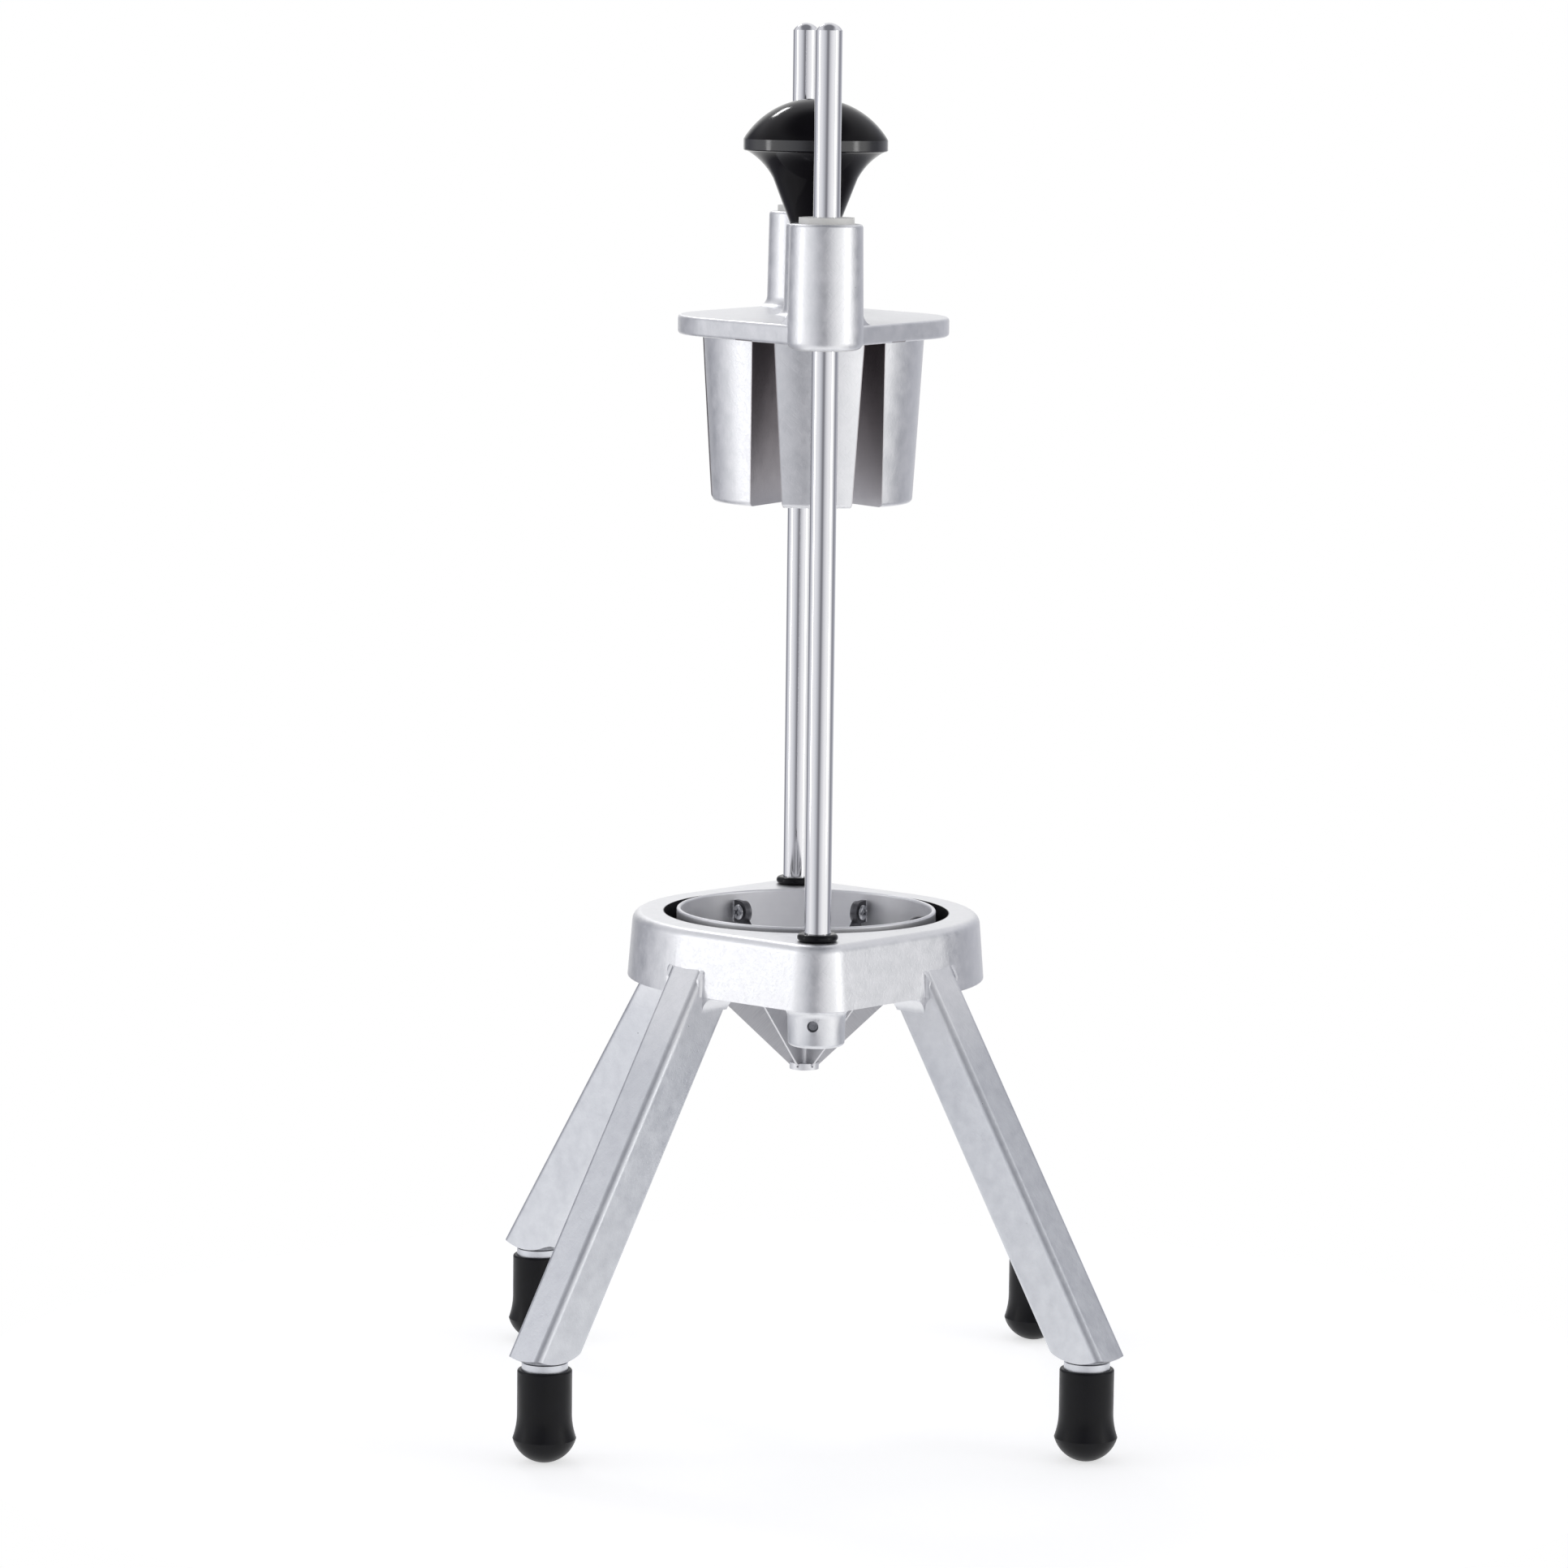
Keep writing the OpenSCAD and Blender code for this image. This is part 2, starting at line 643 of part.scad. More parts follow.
// Hollow rounds of the guide bosses, as far as the plate reaches
module guide_roots() {
    intersection() {
        at_rods() translate([0, 0, plate_top_z]) rotate_extrude()
            root_section(guide_r - guide_draft / 4, guide_root_r);
        translate([0, 0, plate_z]) linear_extrude(plate_t + guide_h) plate_outline(plate_edge_r);
    }
}

// Round plate with rounded edges
module plate_turned(r) {
    rotate_extrude($fn = flange_fn) plate_section(r, plate_t, plate_edge_r);
}

module pusher_head() {
    color("silver") difference() {
        union() {
            translate([0, 0, plate_z]) hull() {
                plate_turned(plate_r);
                at_rods() plate_turned(guide_r - plate_edge_r);
            }
            fingers();
            at_rods() guide_boss();
            guide_roots();
            translate([0, 0, plate_top_z - bite]) rotate_extrude()
                wall_section(knob_post_r, knob_post_h + bite, guide_draft, plate_edge_r);
            translate([0, 0, plate_top_z]) rotate_extrude() root_section(knob_post_r, root_r);
        }
        at_rods() translate([0, 0, guide_z - bite])
            cylinder(d = bush_d + 2 * fit_gap, h = guide_top_z - guide_z + 2 * bite);
        at_rods() translate([0, 0, guide_z - bite])
            cylinder(d = bush_flange_d + 2 * fit_gap, h = bush_low_sink + bite);
        translate([0, 0, knob_z - stud_post_l]) cylinder(d = stud_d + 2 * fit_gap, h = stud_post_l + bite);
    }
}

// Flanged sleeve of white nylon; flange_t is its flange, and it stands up from z = 0 in its boss
module bush(flange_t) {
    color("whitesmoke") difference() {
        union() {
            translate([0, 0, -flange_t]) cylinder(d = bush_flange_d, h = flange_t);
            translate([0, 0, -flange_t]) cylinder(d = bush_d, h = flange_t + bush_l);
        }
        translate([0, 0, -flange_t - bite])
            cylinder(d = rod_d + 2 * slide_gap, h = flange_t + bush_l + 2 * bite);
    }
}

module upper_bush(side) {
    translate([0, side * rod_y, guide_top_z]) mirror([0, 0, 1]) bush(bush_top_t);
}

module lower_bush(side) {
    translate([0, side * rod_y, guide_z + bush_low_sink]) bush(bush_low_t);
}

// Knob with a domed top, a straight rim and a stem that flares out under it
module knob() {
    r = knob_d / 2;
    rim_top = knob_h - knob_cap_r + sqrt(knob_cap_r ^ 2 - r ^ 2);
    rim_low = rim_top - knob_rim_h;
    hollow = arc_centre([knob_flare_r, knob_flare_h], [r - knob_lip, rim_low], knob_hollow_r);
    color("#1b1a1c") translate([0, 0, knob_z]) difference() {
        rotate_extrude() {
            intersection() {
                translate([0, knob_h - knob_cap_r]) circle(knob_cap_r);
                translate([0, rim_low]) square([r, knob_h - rim_low]);
            }
            difference() {
                translate([0, knob_flare_h]) square([r, rim_low + bite - knob_flare_h]);
                translate(hollow) circle(knob_hollow_r);
            }
            polygon([[0, 0], [knob_foot_r, 0], [knob_flare_r, knob_flare_h], [0, knob_flare_h + bite]]);
        }
        translate([0, 0, -bite]) cylinder(d = stud_d + 2 * fit_gap, h = stud_knob_l + bite);
    }
}

// Stud that joins the knob to its post
module knob_stud() {
    color("darkgray") translate([0, 0, knob_z - stud_post_l])
        cylinder(d = stud_d, h = stud_post_l + stud_knob_l);
}

base_frame();
foot(-1, -1);  // foot_front_left
foot(1, -1);  // foot_front_right
foot(-1, 1);  // foot_rear_left
foot(1, 1);  // foot_rear_right
guide_rod(-1);  // guide_rod_front
guide_rod(1);  // guide_rod_rear
rod_pin(-1);  // rod_pin_front
rod_pin(1);  // rod_pin_rear
bumper(-1);  // bumper_front
bumper(1);  // bumper_rear
blade_ring();
ring_screws();
blade_hub();
blade_screws();
blade(0);  // blade_right
blade(1);  // blade_rear_right
blade(2);  // blade_rear_left
blade(3);  // blade_left
blade(4);  // blade_front_left
blade(5);  // blade_front_right
pusher_head();
upper_bush(-1);  // bush_front_upper
lower_bush(-1);  // bush_front_lower
upper_bush(1);  // bush_rear_upper
lower_bush(1);  // bush_rear_lower
knob();
knob_stud();
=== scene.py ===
import math

import bmesh
import bpy
from mathutils import Matrix, Vector


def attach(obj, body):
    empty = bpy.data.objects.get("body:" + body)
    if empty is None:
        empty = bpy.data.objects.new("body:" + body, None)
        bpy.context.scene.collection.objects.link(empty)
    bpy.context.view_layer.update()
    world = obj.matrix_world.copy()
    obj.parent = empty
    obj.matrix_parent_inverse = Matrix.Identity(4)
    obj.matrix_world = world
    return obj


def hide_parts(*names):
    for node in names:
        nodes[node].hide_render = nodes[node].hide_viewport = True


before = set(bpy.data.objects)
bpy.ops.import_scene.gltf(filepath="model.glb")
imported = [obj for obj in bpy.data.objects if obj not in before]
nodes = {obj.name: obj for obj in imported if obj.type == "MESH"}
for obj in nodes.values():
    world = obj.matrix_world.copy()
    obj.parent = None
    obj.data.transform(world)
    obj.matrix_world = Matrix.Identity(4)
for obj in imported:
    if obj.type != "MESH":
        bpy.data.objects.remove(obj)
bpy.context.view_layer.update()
scene = bpy.context.scene
MM = 0.001

# Sizes that the part's source gives, in millimetres and degrees
BLADE_COUNT = 6
EAR_R, EAR_Z = 41.5, 177.0
BLADE_SLOPE = 43.5
LUG_FACE = 2.26
BLADE_HEAD_D, BLADE_HEAD_H, BLADE_SHANK_D, BLADE_SHANK_L = 5.8, 1.7, 3.0, 3.06
RING_SCREW_COUNT = 4
RING_SCREW_R, BASE_Z = 49.0, 159.3
RING_HEAD_D, RING_HEAD_H, RING_SHANK_D, RING_SHANK_L = 5.4, 2.1, 3.0, 5.5
RING_INNER_R, OPENING_R = 46.1, 52.4
PLATE_Z, FINGER_END_Z = 394.7, 334.2
SLOT_HALF_W, SLOT_END_HALF_W = 4.3, 6.4
KNOB_Z, KNOB_R, KNOB_H, KNOB_CAP_R, KNOB_RIM_H, KNOB_LIP = 435.0, 26.2, 45.0, 30.7, 4.2, 1.0
KNOB_FOOT_R, KNOB_FLARE_R, KNOB_FLARE_H, KNOB_HOLLOW_R = 9.2, 15.3, 16.1, 24.0

# Heights in millimetres between which the darker legs run into the rim, and the blades into their painted
# shade inside the ring
LEG_TONE_Z, RIM_TONE_Z = 130, 165
BLADE_BRIGHT_Z, BLADE_SHADE_Z = 158, 166
# Values between which most of a noise pattern lies
NOISE_LOW, NOISE_HIGH = 0.3, 0.7
# Edges that bend by more degrees than these stay sharp
CASTING_SHARP, KNOB_SHARP, SCREW_SHARP = 20, 30, 40
# Broken edges of the knob in millimetres: at its foot, and at the lower and the upper edge of its rim
FOOT_BREAK, RIM_BREAK, RIM_TOP_BREAK = 0.3, 0.35, 0.1
# Half section of a pan head, as shares of its radius and height
PAN_HEAD = [(0.95, 0), (1, 0.12), (1, 0.4), (0.95, 0.66), (0.83, 0.86), (0.62, 0.97), (0.4, 1), (0, 1)]
# Wings of the cross recess, at their top and at their bottom: length and width as shares of the head's
# radius, and height as a share of its height
WING_TOP, WING_BOTTOM = (1.15, 0.3, 1.2), (0.55, 0.2, 0.35)
# Each screw of a set stopped this many degrees further round than the one before
SCREW_STOP = 25
LEFT_BLADES = (2, 3, 4)
FLOOR_R = 0.32
BOARD_GLOW = 0.62


def linear(hex_colour):
    """Turns an sRGB hex colour to the linear RGBA that shaders take."""
    channels = [int(hex_colour[i:i + 2], 16) / 255 for i in (1, 3, 5)]
    return [c / 12.92 if c <= 0.04045 else ((c + 0.055) / 1.055) ** 2.4 for c in channels] + [1.0]


def add(tree, kind, values=None, links=None, **settings):
    """Adds a node with its settings, socket values and links."""
    new = tree.nodes.new("ShaderNode" + kind)
    for name, value in settings.items():
        setattr(new, name, value)
    for socket, value in (values or {}).items():
        new.inputs[socket].default_value = value
    for socket, source in (links or {}).items():
        tree.links.new(source, new.inputs[socket])
    return new


def paint_ramp(ramp, stops):
    """Sets a colour ramp to (position, hex colour) stops."""
    while len(ramp.elements) > 1:
        ramp.elements.remove(ramp.elements[-1])
    for index, (position, colour) in enumerate(stops):
        element = ramp.elements[0] if index == 0 else ramp.elements.new(position)
        element.position = position
        element.color = linear(colour)


def per_mm(size):
    """Texture scale for a pattern whose marks are this many millimetres apart."""
    return 1000 / size


def over_noise(low, high):
    """Values that spread a range over most of a noise pattern."""
    return {"From Min": NOISE_LOW, "From Max": NOISE_HIGH, "To Min": low, "To Max": high}


# Studio that lights the object and that metal shows, by the angle round the object from the camera's side,
# left below zero: white sweep behind, pale cards at both sides, a dark gap where the camera stands and
# dark gaps between cards and sweep
AT_HORIZON = [
    (-180, "#FFFFFF"), (-166, "#FFFFFF"), (-152, "#8C8D94"), (-134, "#90919A"), (-112, "#D8D9DE"),
    (-74, "#F8F8FA"), (-50, "#E4E5E9"), (-30, "#C2C3C9"), (-13, "#848489"), (-5, "#84848A"),
    (10, "#D2D2D6"), (30, "#F2F2F4"), (50, "#FFFFFF"), (82, "#FFFFFF"), (97, "#A0A1A8"),
    (112, "#8F9098"), (134, "#BCBDC4"), (152, "#C8C9D0"), (166, "#FFFFFF"), (180, "#FFFFFF"),
]
OVERHEAD = [
    (-180, "#E6E6E9"), (-130, "#E2E2E6"), (-75, "#DCDDE1"), (-48, "#B4B5BA"), (0, "#A2A3A8"),
    (48, "#B4B5BA"), (75, "#DCDDE1"), (130, "#E2E2E6"), (180, "#E6E6E9"),
]

# Sines of the elevation between which the cards run into the ceiling, and the ceiling into its darker middle
CARDS_END, CEILING_START = 0.35, 0.6
CEILING_END, MIDDLE_START = 0.78, 0.95

world = bpy.data.worlds.new("studio")
scene.world = world
world.use_nodes = True
tree = world.node_tree
tree.nodes.clear()
direction = add(tree, "TexCoord")
parts = add(tree, "SeparateXYZ", links={0: direction.outputs["Generated"]})
front = add(tree, "Math", {1: -1.0}, {0: parts.outputs["Y"]}, operation="MULTIPLY")
turn = add(tree, "Math", links={0: parts.outputs["X"], 1: front.outputs[0]}, operation="ARCTAN2")
around = add(tree, "MapRange", {"From Min": -math.pi, "From Max": math.pi}, {"Value": turn.outputs[0]})
cards = add(tree, "ValToRGB", links={"Fac": around.outputs[0]})
paint_ramp(cards.color_ramp, [((angle + 180) / 360, colour) for angle, colour in AT_HORIZON])
ceiling = add(tree, "ValToRGB", links={"Fac": around.outputs[0]})
paint_ramp(ceiling.color_ramp, [((angle + 180) / 360, colour) for angle, colour in OVERHEAD])
height = add(tree, "MapRange", {"From Min": CARDS_END, "From Max": CEILING_START},
             {"Value": parts.outputs["Z"]}, interpolation_type="SMOOTHSTEP")
room = add(tree, "Mix", links={0: height.outputs[0], 6: cards.outputs[0], 7: ceiling.outputs[0]},
           data_type="RGBA")
top = add(tree, "MapRange", {"From Min": CEILING_END, "From Max": MIDDLE_START},
          {"Value": parts.outputs["Z"]}, interpolation_type="SMOOTHSTEP")
hall = add(tree, "Mix", {7: linear("#7C7D83")}, {0: top.outputs[0], 6: room.outputs[2]}, data_type="RGBA")
studio_light = add(tree, "Background", {"Strength": 1.0}, {"Color": hall.outputs[2]})
white_sweep = add(tree, "Background", {"Color": (1, 1, 1, 1), "Strength": 1.0})
# The camera sees plain white all round; reflections keep the studio, with its white behind the object
rays = add(tree, "LightPath")
straight = add(tree, "Math",
               links={0: rays.outputs["Is Camera Ray"], 1: rays.outputs["Is Transmission Ray"]},
               operation="MAXIMUM")
seen = add(tree, "MixShader", links={0: straight.outputs[0], 1: studio_light.outputs[0],
                                     2: white_sweep.outputs[0]})
add(tree, "OutputWorld", links={"Surface": seen.outputs[0]})


def soft_box(name, azimuth, elevation, distance, size, power):
    """A soft box that looks at the middle of the object."""
    aim = Vector((0, 0, 0.25))
    a, e = math.radians(azimuth), math.radians(elevation)
    place = aim + distance * Vector((math.sin(a) * math.cos(e), -math.cos(a) * math.cos(e), math.sin(e)))
    data = bpy.data.lights.new(name, "AREA")
    data.shape = "RECTANGLE"
    data.size, data.size_y = size
    data.energy = power
    light = bpy.data.objects.new(name, data)
    facing = (aim - place).to_track_quat("-Z", "Y").to_matrix().to_4x4()
    light.matrix_world = Matrix.Translation(place) @ facing
    light.visible_camera = False
    scene.collection.objects.link(light)


soft_box("strip_left", azimuth=-84, elevation=8, distance=1.5, size=(0.22, 0.9), power=1.3)
soft_box("strip_right", azimuth=64, elevation=8, distance=1.5, size=(0.2, 0.9), power=1.2)
soft_box("back_top", azimuth=-161, elevation=43, distance=1.4, size=(0.22, 0.1), power=1.2)

# Camera at the photograph's viewing angle, in metres and degrees
CAMERA_PLACE = (-0.1249, -2.0963, 0.50497)
CAMERA_TURN, CAMERA_TILT, CAMERA_ROLL = -3.41, 82.54, 0.72
camera_data = bpy.data.cameras.new("camera")
camera_data.sensor_width = 36
camera_data.lens = 132.46
camera_data.shift_x = -0.01517
camera_data.clip_end = 20
camera = bpy.data.objects.new("camera", camera_data)
camera.matrix_world = (
    Matrix.Translation(CAMERA_PLACE)
    @ Matrix.Rotation(math.radians(CAMERA_TURN), 4, "Z")
    @ Matrix.Rotation(math.radians(CAMERA_TILT), 4, "X")
    @ Matrix.Rotation(math.radians(CAMERA_ROLL), 4, "Z")
)
scene.collection.objects.link(camera)
scene.camera = camera
scene.view_settings.view_transform = "Standard"


def new_material(name):
    """A material with its shader and its Object coordinates."""
    material = bpy.data.materials.new(name)
    material.use_nodes = True
    tree = material.node_tree
    tree.nodes.clear()
    shader = add(tree, "BsdfPrincipled")
    add(tree, "OutputMaterial", links={"Surface": shader.outputs[0]})
    coords = add(tree, "TexCoord").outputs["Object"]
    return material, tree, shader, coords


def set_shader(shader, **sockets):
    """Sets sockets of the shader that are the same all over the surface."""
    for name, value in sockets.items():
        shader.inputs[name.replace("_", " ")].default_value = value


def from_axis(tree, coords):
    """Distance from the upright axis and height, for patterns that were turned or ground round it."""
    place = add(tree, "SeparateXYZ", links={0: coords})
    flat = add(tree, "CombineXYZ", links={"X": place.outputs["X"], "Y": place.outputs["Y"]})
    out = add(tree, "VectorMath", links={0: flat.outputs[0]}, operation="LENGTH")
    return out.outputs["Value"], place.outputs["Z"]


def tumbled_cast_aluminium(name, slots):
    # Sand-cast aluminium, tumbled: a bright satin skin with a pebbly grain, odd pits and crossed hairlines
    # from the stones; the legs are drawn darker, partly grey casting skin and partly painted shade
    material, tree, shader, coords = new_material(name)
    place = add(tree, "SeparateXYZ", links={0: coords})
    mottle = add(tree, "TexNoise", {"Scale": per_mm(5), "Detail": 4.0, "Roughness": 0.6}, {"Vector": coords})
    rim_tone = add(tree, "ValToRGB", links={"Fac": mottle.outputs[0]})
    paint_ramp(rim_tone.color_ramp, [(NOISE_LOW, "#ECEDEF"), (NOISE_HIGH, "#F6F6F8")])
    # Darker legs: partly their grey casting skin, partly painted shade
    leg_tone = add(tree, "ValToRGB", links={"Fac": mottle.outputs[0]})
    paint_ramp(leg_tone.color_ramp, [(NOISE_LOW, "#D2D4D9"), (NOISE_HIGH, "#DFE1E5")])
    up = add(tree, "MapRange", {"From Min": LEG_TONE_Z * MM, "From Max": RIM_TONE_Z * MM},
             {"Value": place.outputs["Z"]}, interpolation_type="SMOOTHSTEP")
    skin = add(tree, "Mix", links={0: up.outputs[0], 6: leg_tone.outputs[0], 7: rim_tone.outputs[0]},
               data_type="RGBA")
    if not slots:
        # Painted shade in the gap between the ring and the opening of the rim
        out = from_axis(tree, coords)[0]
        in_gap = add(tree, "MapRange",
                     {"From Min": (OPENING_R + 0.1) * MM, "From Max": (OPENING_R + 0.4) * MM,
                      "To Min": 1.0, "To Max": 0.0}, {"Value": out})
        above = add(tree, "Math", {1: (BASE_Z + 0.5) * MM}, {0: place.outputs["Z"]},
                    operation="GREATER_THAN")
        painted_gap_shade = add(tree, "Math", links={0: in_gap.outputs[0], 1: above.outputs[0]}, operation="MULTIPLY")
        skin = add(tree, "Mix", {7: linear("#4C4C50")}, {0: painted_gap_shade.outputs[0], 6: skin.outputs[2]},
                   data_type="RGBA")
    else:
        # Blade slots drawn dark: partly casting skin left where the tumbling stones don't reach, partly
        # painted shade
        near = None
        for k in range(BLADE_COUNT // 2):
            angle = math.radians(180 / (BLADE_COUNT // 2) * k)
            side = add(tree, "VectorMath", {1: (math.sin(angle), -math.cos(angle), 0)}, {0: coords},
                       operation="DOT_PRODUCT")
            gap = add(tree, "Math", links={0: side.outputs["Value"]}, operation="ABSOLUTE")
            if near is None:
                near = gap
            else:
                near = add(tree, "Math", links={0: near.outputs[0], 1: gap.outputs[0]}, operation="MINIMUM")
        depth = add(tree, "MapRange", {"From Min": FINGER_END_Z * MM, "From Max": PLATE_Z * MM},
                    {"Value": place.outputs["Z"]})
        reach = add(tree, "MapRange", {"To Min": SLOT_END_HALF_W * MM, "To Max": SLOT_HALF_W * MM},
                    {"Value": depth.outputs[0]})
        beyond = add(tree, "Math", links={0: near.outputs[0], 1: reach.outputs[0]}, operation="SUBTRACT")
        in_slot = add(tree, "MapRange",
                      {"From Min": 0.1 * MM, "From Max": 0.5 * MM, "To Min": 1.0, "To Max": 0.0},
                      {"Value": beyond.outputs[0]})
        under = add(tree, "Math", {1: (PLATE_Z + 0.5) * MM}, {0: place.outputs["Z"]}, operation="LESS_THAN")
        dark = add(tree, "Math", links={0: in_slot.outputs[0], 1: under.outputs[0]}, operation="MULTIPLY")
        # Painted shade that deepens towards the plate at the top of the slots, over the darker skin
        slot_skin_and_shade = add(tree, "ValToRGB", links={"Fac": depth.outputs[0]})
        paint_ramp(slot_skin_and_shade.color_ramp, [(0.0, "#D6D4D6"), (0.5, "#BBB7B9"), (1.0, "#A09A9D")])
        skin = add(tree, "Mix", links={0: dark.outputs[0], 6: skin.outputs[2], 7: slot_skin_and_shade.outputs[0]},
                   data_type="RGBA")
    # Pits up to 0.6 mm across in one cell of the pattern out of six, each of its own size, with painted
    # shade in them
    cells = add(tree, "TexVoronoi", {"Scale": per_mm(5)}, {"Vector": coords})
    lot = add(tree, "SeparateColor", links={0: cells.outputs["Color"]})
    pit_r = add(tree, "MapRange", {"From Min": 0.84, "From Max": 1.0, "To Min": 0.0, "To Max": 0.06},
                {"Value": lot.outputs[0]})
    pit = add(tree, "Math", links={0: pit_r.outputs[0], 1: cells.outputs["Distance"]}, operation="SUBTRACT")
    pits = add(tree, "MapRange", {"From Min": 0.0, "From Max": 0.04}, {"Value": pit.outputs[0]})
    pitted = add(tree, "Mix", {7: linear("#8E8F93")}, {0: pits.outputs[0], 6: skin.outputs[2]},
                 data_type="RGBA")
    tree.links.new(pitted.outputs[2], shader.inputs["Base Color"])
    # Crossed hairlines, really a few hundredths of a millimetre wide: drawn coarser so that they show
    lines = []
    for lean in (40, -50):
        turned = add(tree, "Mapping", {"Rotation": (0, math.radians(lean), math.radians(lean / 4)),
                                       "Scale": (0.8 * MM, 0.8 * MM, 7 * MM)}, {"Vector": coords},
                     vector_type="TEXTURE")
        streaks = add(tree, "TexNoise", {"Scale": 1.0, "Detail": 2.0}, {"Vector": turned.outputs[0]})
        line = add(tree, "MapRange", {"From Min": 0.55, "From Max": 0.7}, {"Value": streaks.outputs[0]})
        lines.append(line.outputs[0])
    hairlines = add(tree, "Math", links={0: lines[0], 1: lines[1]}, operation="MAXIMUM")
    sheen = add(tree, "MapRange", over_noise(0.33, 0.43), {"Value": mottle.outputs[0]})
    scuffed = add(tree, "Math", {1: 0.06}, {0: hairlines.outputs[0], 2: sheen.outputs[0]},
                  operation="MULTIPLY_ADD")
    tree.links.new(scuffed.outputs[0], shader.inputs["Roughness"])
    grain = add(tree, "TexNoise", {"Scale": per_mm(1.1), "Detail": 4.0, "Roughness": 0.7},
                {"Vector": coords})
    pebbles = add(tree, "Bump", {"Strength": 0.3, "Distance": 0.12 * MM}, {"Height": grain.outputs[0]})
    worn = add(tree, "Bump", {"Strength": 0.2, "Distance": 0.08 * MM},
               {"Height": hairlines.outputs[0], "Normal": pebbles.outputs[0]}, invert=True)
    holed = add(tree, "Bump", {"Strength": 0.6, "Distance": 0.3 * MM},
                {"Height": pits.outputs[0], "Normal": worn.outputs[0]}, invert=True)
    tree.links.new(holed.outputs[0], shader.inputs["Normal"])
    set_shader(shader, Metallic=1.0)
    return material


def polished_rod_steel():
    # Ground and polished bar: mirror bright, with faint rings round it from the polishing belt and long
    # wipe marks where the bushes run
    material, tree, shader, coords = new_material("polished_rod_steel")
    wiped = add(tree, "Mapping", {"Scale": (per_mm(1.5), per_mm(1.5), per_mm(70))}, {"Vector": coords})
    wipe = add(tree, "TexNoise", {"Scale": 1.0, "Detail": 3.0}, {"Vector": wiped.outputs[0]})
    tone = add(tree, "ValToRGB", links={"Fac": wipe.outputs[0]})
    paint_ramp(tone.color_ramp, [(NOISE_LOW, "#E9E9EC"), (NOISE_HIGH, "#F1F1F3")])
    tree.links.new(tone.outputs[0], shader.inputs["Base Color"])
    sheen = add(tree, "MapRange", over_noise(0.05, 0.11), {"Value": wipe.outputs[0]})
    tree.links.new(sheen.outputs[0], shader.inputs["Roughness"])
    # Belt rings are finer than a tenth of a millimetre: drawn coarser so that they show
    belt = add(tree, "Mapping", {"Scale": (per_mm(40), per_mm(40), per_mm(0.7))}, {"Vector": coords})
    rings = add(tree, "TexNoise", {"Scale": 1.0, "Detail": 2.0}, {"Vector": belt.outputs[0]})
    bump = add(tree, "Bump", {"Strength": 0.015, "Distance": 0.03 * MM}, {"Height": rings.outputs[0]})
    tree.links.new(bump.outputs[0], shader.inputs["Normal"])
    set_shader(shader, Metallic=1.0)
    return material


def turned_stainless(name, shaded_lugs):
    # Lathe-turned stainless: satin, with fine rings round it that spread the light along the ring; lugs
    # welded inside the ring get a painted dark shade
    material, tree, shader, coords = new_material(name)
    out, up = from_axis(tree, coords)
    # Turning rings 0.1 mm apart are drawn 0.5 mm apart so that they show
    section = add(tree, "CombineXYZ", links={"X": out, "Y": up})
    rings = add(tree, "TexNoise", {"Scale": per_mm(0.5), "Detail": 2.0}, {"Vector": section.outputs[0]})
    cloud = add(tree, "TexNoise", {"Scale": per_mm(12), "Detail": 3.0}, {"Vector": coords})
    tone = add(tree, "ValToRGB", links={"Fac": cloud.outputs[0]})
    paint_ramp(tone.color_ramp, [(NOISE_LOW, "#EAEAED"), (NOISE_HIGH, "#F3F3F5")])
    if shaded_lugs:
        # Painted shade on the lugs inside the ring's wall
        wall = add(tree, "MapRange",
                   {"From Min": (RING_INNER_R - 0.5) * MM, "From Max": (RING_INNER_R - 0.2) * MM},
                   {"Value": out})
        tone = add(tree, "Mix", {6: linear("#5E5E62")}, {0: wall.outputs[0], 7: tone.outputs[0]},
                   data_type="RGBA")
        tree.links.new(tone.outputs[2], shader.inputs["Base Color"])
    else:
        tree.links.new(tone.outputs[0], shader.inputs["Base Color"])
    sheen = add(tree, "MapRange", over_noise(0.42, 0.56), {"Value": rings.outputs[0]})
    tree.links.new(sheen.outputs[0], shader.inputs["Roughness"])
    bump = add(tree, "Bump", {"Strength": 0.12, "Distance": 0.05 * MM}, {"Height": rings.outputs[0]})
    tree.links.new(bump.outputs[0], shader.inputs["Normal"])
    set_shader(shader, Metallic=1.0)
    return material


